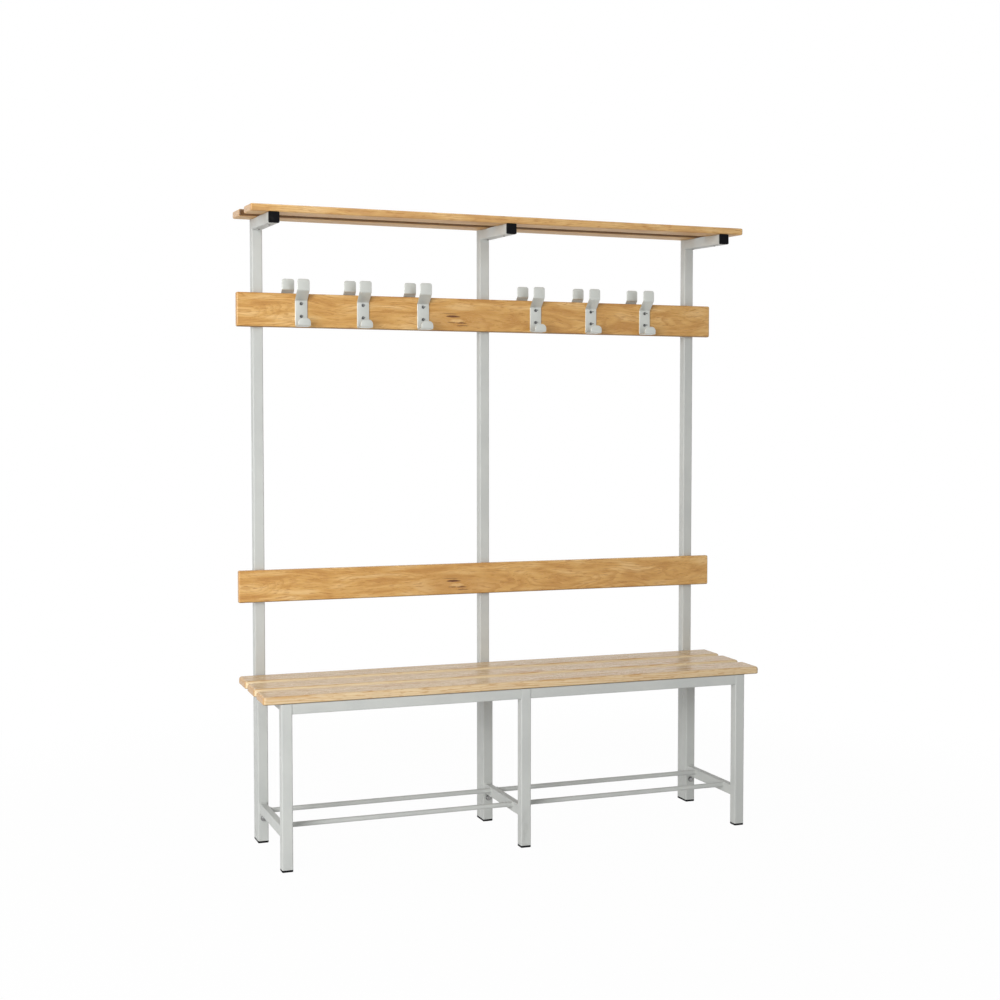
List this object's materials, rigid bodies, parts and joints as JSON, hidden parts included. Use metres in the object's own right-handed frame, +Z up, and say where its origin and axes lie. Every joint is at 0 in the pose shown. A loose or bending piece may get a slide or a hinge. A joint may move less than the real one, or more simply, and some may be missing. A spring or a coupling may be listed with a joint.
{
  "type": "changing room bench",
  "caption": "Free-standing changing room bench: slatted pine seat, backrest board, two staggered rows of coat hooks, slatted shelf and shoe rods on a painted steel tube frame.",
  "frame": {"origin": "on the floor, under the middle of the bench's outline", "axes": "+X along the bench to the right of a person facing it, +Y to the back, +Z up"},
  "size_m": [1.5, 0.3939, 1.8007],
  "materials": {
    "frame_paint": "light grey powder coat, satin",
    "hook_paint": "light grey powder coat on bent steel strip",
    "pine": "clear-lacquered pine with flat-sawn grain",
    "black_plastic": "moulded black plastic",
    "zinc_steel": "zinc-plated steel, smoky grey"
  },
  "bodies": {
    "root": {"arm_end_cap_left": "black_plastic", "arm_end_cap_middle": "black_plastic", "arm_end_cap_right": "black_plastic", "backrest_board": "pine", "board_screws": "zinc_steel", "frame_bolts": "zinc_steel", "frame_nuts": "zinc_steel", "frame_washers": "zinc_steel", "front_hook_1": "hook_paint", "front_hook_2": "hook_paint", "front_hook_3": "hook_paint", "front_hook_4": "hook_paint", "front_hook_5": "hook_paint", "front_hook_6": "hook_paint", "front_hook_screws": "zinc_steel", "front_leg_feet": "black_plastic", "front_leg_left": "frame_paint", "front_leg_middle": "frame_paint", "front_leg_right": "frame_paint", "front_rail_left": "frame_paint", "front_rail_right": "frame_paint", "front_shelf_slat": "pine", "front_shoe_rod_left": "frame_paint", "front_shoe_rod_right": "frame_paint", "hook_board": "pine", "lower_cross_rail_left": "frame_paint", "lower_cross_rail_middle": "frame_paint", "lower_cross_rail_right": "frame_paint", "rear_hook_1": "hook_paint", "rear_hook_2": "hook_paint", "rear_hook_3": "hook_paint", "rear_hook_4": "hook_paint", "rear_hook_5": "hook_paint", "rear_hook_6": "hook_paint", "rear_hook_board": "pine", "rear_hook_screws": "zinc_steel", "rear_leg_feet": "black_plastic", "rear_leg_left": "frame_paint", "rear_leg_middle": "frame_paint", "rear_leg_right": "frame_paint", "rear_rail_left": "frame_paint", "rear_rail_right": "frame_paint", "rear_shelf_slat": "pine", "rear_shoe_rod_left": "frame_paint", "rear_shoe_rod_right": "frame_paint", "seat_screws": "zinc_steel", "seat_slat_1": "pine", "seat_slat_2": "pine", "seat_slat_3": "pine", "shelf_arm_left": "frame_paint", "shelf_arm_middle": "frame_paint", "shelf_arm_right": "frame_paint", "shelf_screws": "zinc_steel", "upper_cross_rail_left": "frame_paint", "upper_cross_rail_middle": "frame_paint", "upper_cross_rail_right": "frame_paint", "upright_feet": "black_plastic", "upright_left": "frame_paint", "upright_middle": "frame_paint", "upright_right": "frame_paint"}
  },
  "joints": []
}
